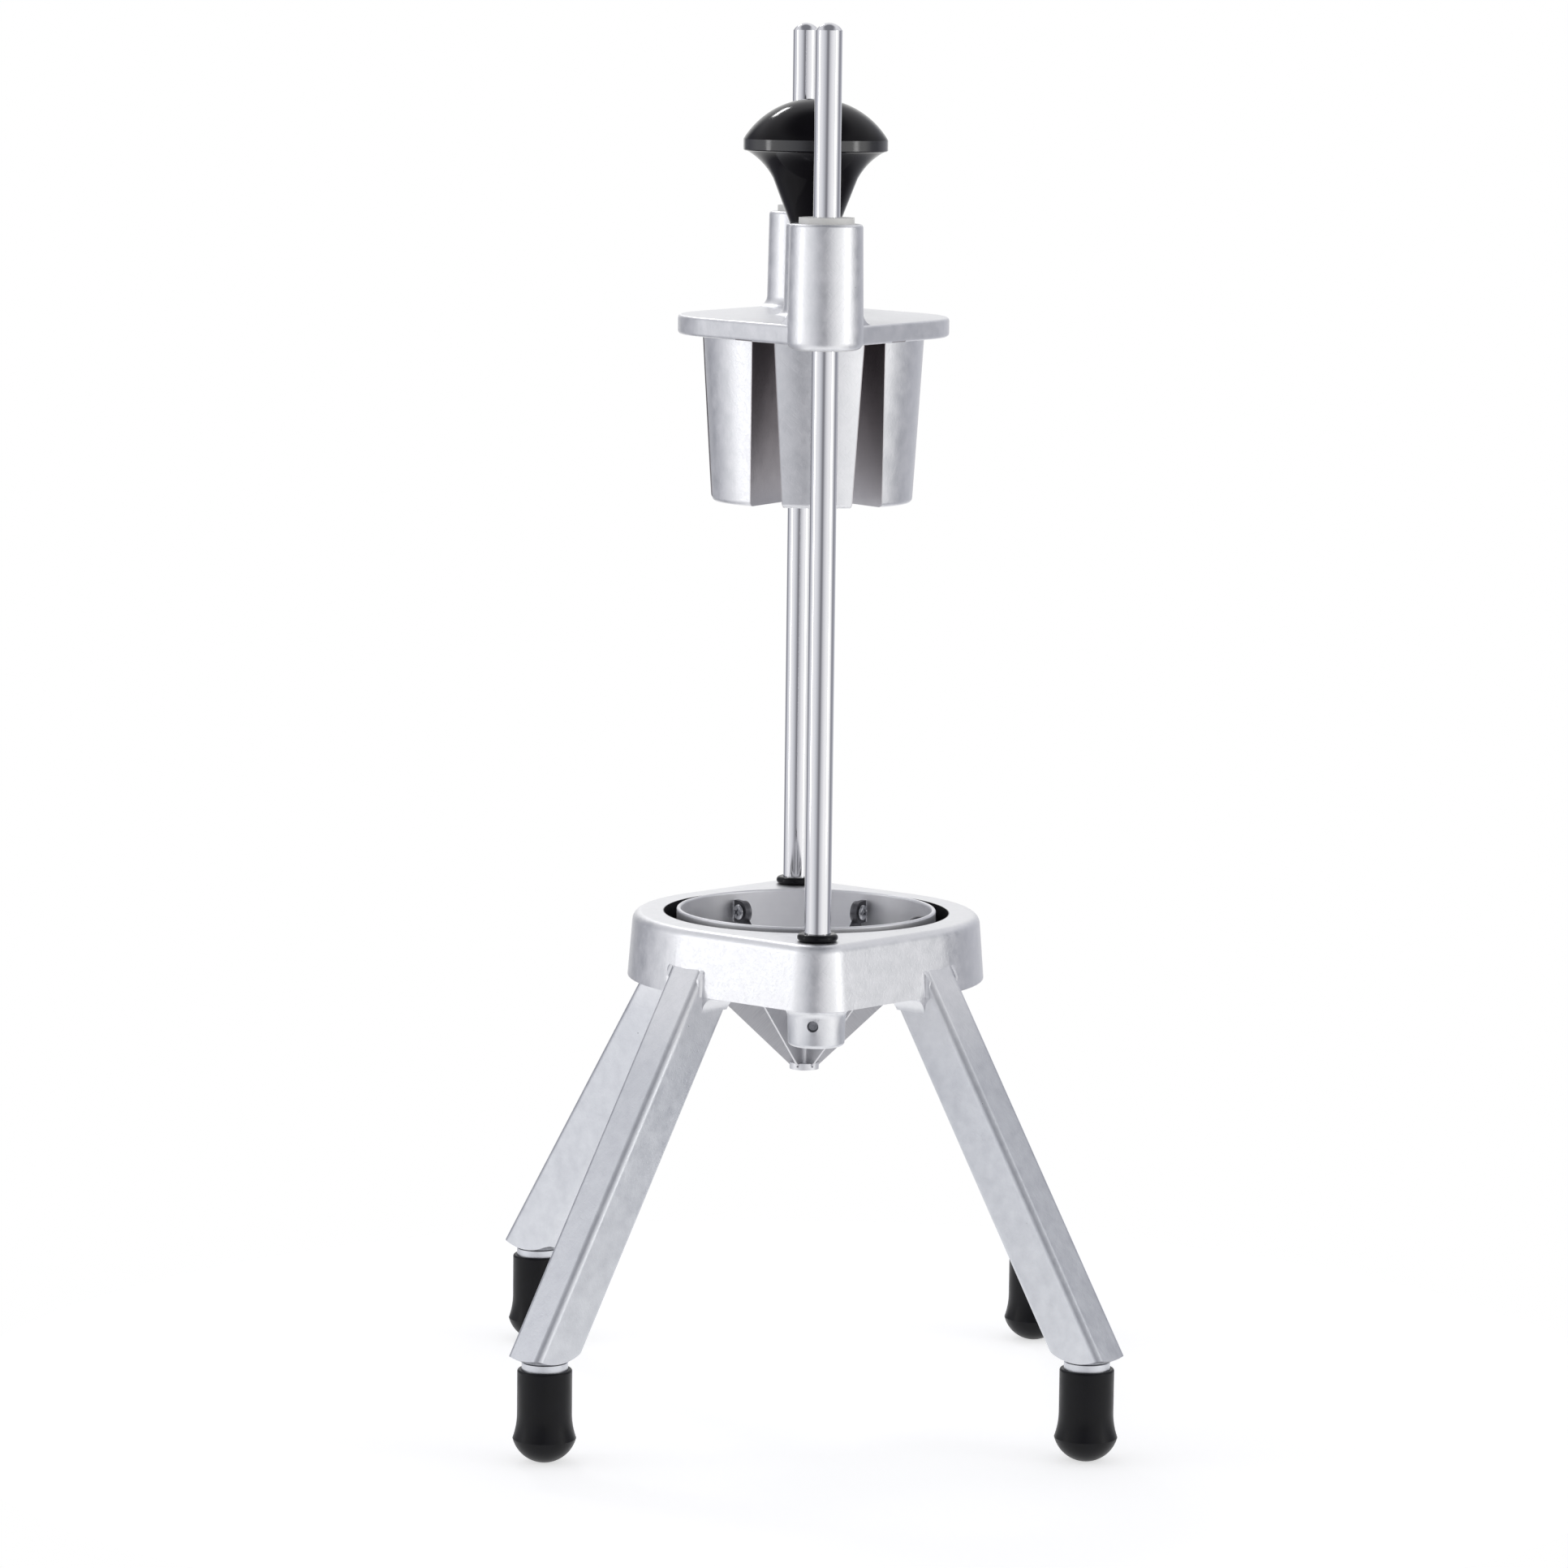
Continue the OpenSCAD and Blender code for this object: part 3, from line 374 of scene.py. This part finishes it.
def ground_blade_steel():
    # Hardened strip, ground: grey satin with grinding lines across the blade that run to its edge, bright
    # below the ring and darkened inside it by painted shade
    material, tree, shader, coords = new_material("ground_blade_steel")
    out, up = from_axis(tree, coords)
    slope = math.radians(BLADE_SLOPE)
    rise = add(tree, "Math", {1: math.sin(slope)}, {0: up}, operation="MULTIPLY")
    along = add(tree, "Math", {1: math.cos(slope)}, {0: out, 2: rise.outputs[0]}, operation="MULTIPLY_ADD")
    drop = add(tree, "Math", {1: -math.sin(slope)}, {0: out}, operation="MULTIPLY")
    across = add(tree, "Math", {1: math.cos(slope)}, {0: up, 2: drop.outputs[0]}, operation="MULTIPLY_ADD")
    # Grinding lines are 0.05 mm apart: drawn 0.4 mm apart so that they show
    face = add(tree, "CombineXYZ", links={"X": along.outputs[0], "Y": across.outputs[0]})
    stretched = add(tree, "Mapping", {"Scale": (per_mm(0.4), per_mm(9), 1)}, {"Vector": face.outputs[0]})
    lines = add(tree, "TexNoise", {"Scale": 1.0, "Detail": 2.0}, {"Vector": stretched.outputs[0]})
    tone = add(tree, "ValToRGB", links={"Fac": lines.outputs[0]})
    paint_ramp(tone.color_ramp, [(NOISE_LOW, "#D2D2D5"), (NOISE_HIGH, "#DEDEE0")])
    # Painted shade for the parts of the blades inside the ring
    painted_shade = add(tree, "ValToRGB", links={"Fac": lines.outputs[0]})
    paint_ramp(painted_shade.color_ramp, [(NOISE_LOW, "#626266"), (NOISE_HIGH, "#6E6E72")])
    inside = add(tree, "MapRange", {"From Min": BLADE_BRIGHT_Z * MM, "From Max": BLADE_SHADE_Z * MM},
                 {"Value": up})
    skin = add(tree, "Mix", links={0: inside.outputs[0], 6: tone.outputs[0], 7: painted_shade.outputs[0]},
               data_type="RGBA")
    tree.links.new(skin.outputs[2], shader.inputs["Base Color"])
    sheen = add(tree, "MapRange", over_noise(0.32, 0.44), {"Value": lines.outputs[0]})
    tree.links.new(sheen.outputs[0], shader.inputs["Roughness"])
    bump = add(tree, "Bump", {"Strength": 0.12, "Distance": 0.04 * MM}, {"Height": lines.outputs[0]})
    tree.links.new(bump.outputs[0], shader.inputs["Normal"])
    set_shader(shader, Metallic=1.0)
    return material


def plated_screw_steel():
    # Zinc-plated steel: bright, a little cloudy, with small knocks from the driver and the barrel
    material, tree, shader, coords = new_material("plated_screw_steel")
    cloud = add(tree, "TexNoise", {"Scale": per_mm(1.5), "Detail": 4.0}, {"Vector": coords})
    tone = add(tree, "ValToRGB", links={"Fac": cloud.outputs[0]})
    paint_ramp(tone.color_ramp, [(NOISE_LOW, "#9C9DA1"), (NOISE_HIGH, "#B2B3B7")])
    tree.links.new(tone.outputs[0], shader.inputs["Base Color"])
    sheen = add(tree, "MapRange", over_noise(0.18, 0.32), {"Value": cloud.outputs[0]})
    tree.links.new(sheen.outputs[0], shader.inputs["Roughness"])
    bump = add(tree, "Bump", {"Strength": 0.1, "Distance": 0.05 * MM}, {"Height": cloud.outputs[0]})
    tree.links.new(bump.outputs[0], shader.inputs["Normal"])
    set_shader(shader, Metallic=1.0)
    return material


def moulded_black_rubber(name, roughness):
    # Moulded black rubber: soft dark sheen with a faint bloom in patches and odd specks of dust
    material, tree, shader, coords = new_material(name)
    bloom = add(tree, "TexNoise", {"Scale": per_mm(8), "Detail": 4.0, "Roughness": 0.6}, {"Vector": coords})
    tone = add(tree, "ValToRGB", links={"Fac": bloom.outputs[0]})
    paint_ramp(tone.color_ramp, [(NOISE_LOW, "#08080B"), (NOISE_HIGH, "#101015")])
    # Specks about 0.6 mm across in one cell of the pattern out of eight
    cells = add(tree, "TexVoronoi", {"Scale": per_mm(9)}, {"Vector": coords})
    speck = add(tree, "MapRange", {"From Min": 0.02, "From Max": 0.05, "To Min": 1.0, "To Max": 0.0},
                {"Value": cells.outputs["Distance"]})
    lot = add(tree, "SeparateColor", links={0: cells.outputs["Color"]})
    chosen = add(tree, "Math", {1: 0.87}, {0: lot.outputs[0]}, operation="GREATER_THAN")
    specks = add(tree, "Math", links={0: speck.outputs[0], 1: chosen.outputs[0]}, operation="MULTIPLY")
    dusty = add(tree, "Mix", {7: linear("#77757A")}, {0: specks.outputs[0], 6: tone.outputs[0]},
                data_type="RGBA")
    tree.links.new(dusty.outputs[2], shader.inputs["Base Color"])
    sheen = add(tree, "MapRange", over_noise(roughness - 0.05, roughness + 0.07),
                {"Value": bloom.outputs[0]})
    tree.links.new(sheen.outputs[0], shader.inputs["Roughness"])
    skin = add(tree, "TexNoise", {"Scale": per_mm(0.8), "Detail": 2.0}, {"Vector": coords})
    bump = add(tree, "Bump", {"Strength": 0.08, "Distance": 0.05 * MM}, {"Height": skin.outputs[0]})
    tree.links.new(bump.outputs[0], shader.inputs["Normal"])
    set_shader(shader, IOR=1.5, Specular_IOR_Level=0.22)
    return material


def turned_white_nylon():
    # Turned nylon: milky white, waxy, with tool rings on its faces and a little grey where it was handled
    material, tree, shader, coords = new_material("turned_white_nylon")
    cloud = add(tree, "TexNoise", {"Scale": per_mm(4), "Detail": 4.0}, {"Vector": coords})
    tone = add(tree, "ValToRGB", links={"Fac": cloud.outputs[0]})
    paint_ramp(tone.color_ramp, [(NOISE_LOW, "#EBEAE5"), (NOISE_HIGH, "#F4F3EF")])
    tree.links.new(tone.outputs[0], shader.inputs["Base Color"])
    sheen = add(tree, "MapRange", over_noise(0.4, 0.52), {"Value": cloud.outputs[0]})
    tree.links.new(sheen.outputs[0], shader.inputs["Roughness"])
    stretched = add(tree, "Mapping", {"Scale": (per_mm(12), per_mm(12), per_mm(0.4))}, {"Vector": coords})
    rings = add(tree, "TexNoise", {"Scale": 1.0, "Detail": 2.0}, {"Vector": stretched.outputs[0]})
    bump = add(tree, "Bump", {"Strength": 0.1, "Distance": 0.05 * MM}, {"Height": rings.outputs[0]})
    tree.links.new(bump.outputs[0], shader.inputs["Normal"])
    set_shader(shader, IOR=1.53)
    return material


def moulded_black_phenolic():
    # Compression-moulded phenolic, buffed: deep black gloss, a little foggy where hands hold it
    material, tree, shader, coords = new_material("moulded_black_phenolic")
    fog = add(tree, "TexNoise", {"Scale": per_mm(10), "Detail": 4.0}, {"Vector": coords})
    tone = add(tree, "ValToRGB", links={"Fac": fog.outputs[0]})
    paint_ramp(tone.color_ramp, [(NOISE_LOW, "#070508"), (NOISE_HIGH, "#0D0A0F")])
    tree.links.new(tone.outputs[0], shader.inputs["Base Color"])
    sheen = add(tree, "MapRange", over_noise(0.07, 0.13), {"Value": fog.outputs[0]})
    tree.links.new(sheen.outputs[0], shader.inputs["Roughness"])
    skin = add(tree, "TexNoise", {"Scale": per_mm(2.5), "Detail": 2.0}, {"Vector": coords})
    bump = add(tree, "Bump", {"Strength": 0.02, "Distance": 0.05 * MM}, {"Height": skin.outputs[0]})
    tree.links.new(bump.outputs[0], shader.inputs["Normal"])
    set_shader(shader, IOR=1.5, Specular_IOR_Level=0.14)
    return material


def trimmed_phenolic_rim():
    # Rim of the knob, trimmed on the lathe: a greyer satin band with fine rings round it
    material, tree, shader, coords = new_material("trimmed_phenolic_rim")
    # Trimming rings are 0.1 mm apart: drawn 0.6 mm apart so that they show
    stretched = add(tree, "Mapping", {"Scale": (per_mm(50), per_mm(50), per_mm(0.6))}, {"Vector": coords})
    rings = add(tree, "TexNoise", {"Scale": 1.0, "Detail": 2.0}, {"Vector": stretched.outputs[0]})
    tone = add(tree, "ValToRGB", links={"Fac": rings.outputs[0]})
    paint_ramp(tone.color_ramp, [(NOISE_LOW, "#0D0C0F"), (NOISE_HIGH, "#151418")])
    tree.links.new(tone.outputs[0], shader.inputs["Base Color"])
    sheen = add(tree, "MapRange", over_noise(0.12, 0.2), {"Value": rings.outputs[0]})
    tree.links.new(sheen.outputs[0], shader.inputs["Roughness"])
    bump = add(tree, "Bump", {"Strength": 0.12, "Distance": 0.05 * MM}, {"Height": rings.outputs[0]})
    tree.links.new(bump.outputs[0], shader.inputs["Normal"])
    set_shader(shader, IOR=1.6, Specular_IOR_Level=0.8)
    return material


finishes = {
    "cast_aluminium": tumbled_cast_aluminium("tumbled_cast_aluminium", slots=False),
    "polished_steel": polished_rod_steel(),
    "satin_stainless": turned_stainless("turned_stainless", shaded_lugs=True),
    "ground_stainless": ground_blade_steel(),
    "steel_hardware": plated_screw_steel(),
    "black_rubber": moulded_black_rubber("moulded_black_rubber", roughness=0.36),
    "white_nylon": turned_white_nylon(),
    "black_phenolic": moulded_black_phenolic(),
}
for cad in nodes.values():
    cad.data.materials[0] = finishes[cad.data.materials[0].name]
shiny_rubber = moulded_black_rubber("shiny_black_rubber", roughness=0.2)
for name in ("bumper_front", "bumper_rear"):
    nodes[name].data.materials[0] = shiny_rubber
nodes["blade_hub"].data.materials[0] = turned_stainless("turned_stainless_hub", shaded_lugs=False)


def new_piece(name, shape, slot, body, *stands_for):
    """Makes a bmesh a piece with its finish, on its body and in place of CAD nodes."""
    data = bpy.data.meshes.new(name)
    shape.to_mesh(data)
    shape.free()
    data.materials.append(finishes[slot])
    piece = bpy.data.objects.new(name, data)
    scene.collection.objects.link(piece)
    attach(piece, body)
    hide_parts(*stands_for)
    return piece


def made_real(piece):
    """Takes a piece's modifiers into its mesh."""
    graph = bpy.context.evaluated_depsgraph_get()
    finished = bpy.data.meshes.new_from_object(piece.evaluated_get(graph))
    plain = piece.data
    piece.modifiers.clear()
    piece.data = finished
    finished.name = plain.name
    bpy.data.meshes.remove(plain)


def shade_smooth(shape, limit):
    """Smooth faces with sharp edges where they meet at more than a limit in degrees."""
    for face in shape.faces:
        face.smooth = True
    for edge in shape.edges:
        edge.smooth = edge.calc_face_angle(math.pi) < math.radians(limit)


def plain_casting(name, node, body):
    """A casting on a copy of its CAD mesh, with facets that run smoothly into each other."""
    shape = bmesh.new()
    shape.from_mesh(nodes[node].data)
    bmesh.ops.remove_doubles(shape, verts=shape.verts, dist=0.01 * MM)
    shade_smooth(shape, CASTING_SHARP)
    piece = new_piece(name, shape, "cast_aluminium", body, node)
    if "custom_normal" in piece.data.attributes:
        piece.data.attributes.remove(piece.data.attributes["custom_normal"])
    even = piece.modifiers.new("even_shading", "WEIGHTED_NORMAL")
    even.mode = "FACE_AREA_WITH_ANGLE"
    even.weight = 80
    even.keep_sharp = True
    return piece


plain_casting("base_casting", "base_frame", "base")
pusher = plain_casting("pusher_casting", "pusher_head", "pusher")
pusher.data.materials[0] = tumbled_cast_aluminium("slotted_cast_aluminium", slots=True)


def spun(shape, outline, steps):
    """Turns a half section of (radius, height) points in millimetres round the z axis."""
    points = [shape.verts.new((r * MM, 0, z * MM)) for r, z in outline]
    edges = [shape.edges.new(pair) for pair in zip(points, points[1:])]
    bmesh.ops.spin(shape, geom=points + edges, cent=(0, 0, 0), axis=(0, 0, 1), angle=2 * math.pi,
                   steps=steps, use_merge=True)
    bmesh.ops.remove_doubles(shape, verts=shape.verts, dist=0.002 * MM)
    bmesh.ops.recalc_face_normals(shape, faces=shape.faces)


def arc(centre, start, end, steps):
    """Points of the shorter arc round a centre from start to end, both included."""
    middle = Vector(centre)
    begin, finish = Vector(start) - middle, Vector(end) - middle
    first = math.atan2(begin.y, begin.x)
    sweep = (math.atan2(finish.y, finish.x) - first + math.pi) % (2 * math.pi) - math.pi
    turns = [first + sweep * step / steps for step in range(steps + 1)]
    return [(middle.x + begin.length * math.cos(a), middle.y + begin.length * math.sin(a)) for a in turns]


# Knob: domed top, trimmed rim with broken edges, hollow flare and tapered stem
rim_top = KNOB_H - KNOB_CAP_R + math.sqrt(KNOB_CAP_R ** 2 - KNOB_R ** 2)
rim_low = rim_top - KNOB_RIM_H
flare, lip = Vector((KNOB_FLARE_R, KNOB_FLARE_H)), Vector((KNOB_R - KNOB_LIP, rim_low))
chord = lip - flare
out_way = Vector((chord.y, -chord.x)).normalized()
hollow = (flare + lip) / 2 + out_way * math.sqrt(KNOB_HOLLOW_R ** 2 - chord.length_squared / 4)
dome = arc((0, KNOB_H - KNOB_CAP_R), (KNOB_R, rim_top), (0, KNOB_H), 24)
outline = (
    [(0, 0), (KNOB_FOOT_R - FOOT_BREAK, 0), (KNOB_FOOT_R, FOOT_BREAK)]
    + arc(hollow, flare, lip, 16)
    + [(KNOB_R - RIM_BREAK, rim_low), (KNOB_R, rim_low + RIM_BREAK), (KNOB_R, rim_top - RIM_TOP_BREAK)]
    + dome[1:]
)
knob_shape = bmesh.new()
spun(knob_shape, outline, 96)
shade_smooth(knob_shape, KNOB_SHARP)
for face in knob_shape.faces:
    # Upright faces of the rim take the second finish
    upright = abs(face.normal.z) < 0.3
    face.material_index = int(upright and rim_low < face.calc_center_median().z / MM < rim_top)
bmesh.ops.translate(knob_shape, verts=knob_shape.verts, vec=(0, 0, KNOB_Z * MM))
knob = new_piece("turned_knob", knob_shape, "black_phenolic", "pusher", "knob")
knob.data.materials.append(trimmed_phenolic_rim())


def cross_head(head_d, head_h, shank_d, shank_l):
    """Mesh of a pan-head screw with a cross recess, head up from z = 0 and shank down."""
    head_r, shank_r = head_d / 2, shank_d / 2
    screw = bmesh.new()
    shank = [(0, -shank_l), (shank_r - 0.3, -shank_l), (shank_r, 0.3 - shank_l), (shank_r, 0)]
    spun(screw, shank + [(r * head_r, h * head_h) for r, h in PAN_HEAD], 36)
    shade_smooth(screw, SCREW_SHARP)
    data = bpy.data.meshes.new("screw")
    screw.to_mesh(data)
    screw.free()
    head = bpy.data.objects.new("screw", data)
    scene.collection.objects.link(head)
    # Two tapered wings, crossed
    recess = bmesh.new()
    for quarter in (0, 90):
        wing = bmesh.ops.create_cube(recess, size=1.0)["verts"]
        for point in wing:
            length, width, height = WING_BOTTOM if point.co.z < 0 else WING_TOP
            point.co.x *= length * head_r * MM
            point.co.y *= width * head_r * MM
            point.co.z = height * head_h * MM
        turned = Matrix.Rotation(math.radians(quarter), 3, "Z")
        bmesh.ops.rotate(recess, verts=wing, cent=(0, 0, 0), matrix=turned)
    cutter_data = bpy.data.meshes.new("recess")
    recess.to_mesh(cutter_data)
    recess.free()
    cutter = bpy.data.objects.new("recess", cutter_data)
    scene.collection.objects.link(cutter)
    cut = head.modifiers.new("recess", "BOOLEAN")
    cut.operation = "DIFFERENCE"
    cut.solver = "EXACT"
    cut.use_self = True
    cut.object = cutter
    made_real(head)
    finished = head.data
    for spent in (head, cutter):
        bpy.data.objects.remove(spent)
    bpy.data.meshes.remove(cutter_data)
    return finished


def screw_set(name, head, places, node):
    """One piece of equal screws, each turned to where its thread stopped it."""
    shape = bmesh.new()
    for index, place in enumerate(places):
        before = len(shape.verts)
        shape.from_mesh(head)
        shape.verts.ensure_lookup_table()
        stop = Matrix.Rotation(math.radians(SCREW_STOP * index), 4, "Z")
        bmesh.ops.transform(shape, matrix=place @ stop, verts=shape.verts[before:])
    bpy.data.meshes.remove(head)
    return new_piece(name, shape, "steel_hardware", "base", node)


# The heads of all blade screws face the front, so they sit on the other side of the left blades
ear_places = []
for k in range(BLADE_COUNT):
    head_side = 1 if k in LEFT_BLADES else -1
    ear_places.append(
        Matrix.Rotation(math.radians(360 / BLADE_COUNT * k), 4, "Z")
        @ Matrix.Translation(Vector((EAR_R, 0, EAR_Z)) * MM)
        @ Matrix.Rotation(math.radians(-90 * head_side), 4, "X")
        @ Matrix.Translation(Vector((0, 0, LUG_FACE)) * MM)
    )
screw_set("blade_cross_screws", cross_head(BLADE_HEAD_D, BLADE_HEAD_H, BLADE_SHANK_D, BLADE_SHANK_L),
          ear_places, "blade_screws")
ledge_places = [
    Matrix.Rotation(math.radians(360 / RING_SCREW_COUNT * k), 4, "Z")
    @ Matrix.Translation(Vector((RING_SCREW_R, 0, BASE_Z)) * MM)
    @ Matrix.Rotation(math.pi, 4, "X")
    for k in range(RING_SCREW_COUNT)
]
screw_set("ring_cross_screws", cross_head(RING_HEAD_D, RING_HEAD_H, RING_SHANK_D, RING_SHANK_L),
          ledge_places, "ring_screws")

# Floor: a plain round board that keeps the shadow. It glows up to white where it is seen or mirrored, and
# not in the light that it throws on the object
floor_mesh = bmesh.new()
bmesh.ops.create_circle(floor_mesh, cap_ends=True, segments=96, radius=FLOOR_R)
floor_data = bpy.data.meshes.new("floor")
floor_mesh.to_mesh(floor_data)
floor_mesh.free()
floor = bpy.data.objects.new("floor", floor_data)
scene.collection.objects.link(floor)
floor_material = bpy.data.materials.new("white_board")
floor_material.use_nodes = True
tree = floor_material.node_tree
tree.nodes.clear()
board = add(tree, "BsdfDiffuse", {"Color": linear("#D6D6D6")})
lift = add(tree, "Emission", {"Color": (1, 1, 1, 1), "Strength": BOARD_GLOW})
lit = add(tree, "AddShader", links={0: board.outputs[0], 1: lift.outputs[0]})
rays = add(tree, "LightPath")
mirrored = add(tree, "Math",
               links={0: rays.outputs["Is Glossy Ray"], 1: rays.outputs["Is Transmission Ray"]},
               operation="MAXIMUM")
direct = add(tree, "Math", links={0: rays.outputs["Is Camera Ray"], 1: mirrored.outputs[0]},
             operation="MAXIMUM")
shown = add(tree, "MixShader", links={0: direct.outputs[0], 1: board.outputs[0], 2: lit.outputs[0]})
add(tree, "OutputMaterial", links={"Surface": shown.outputs[0]})
floor_data.materials.append(floor_material)
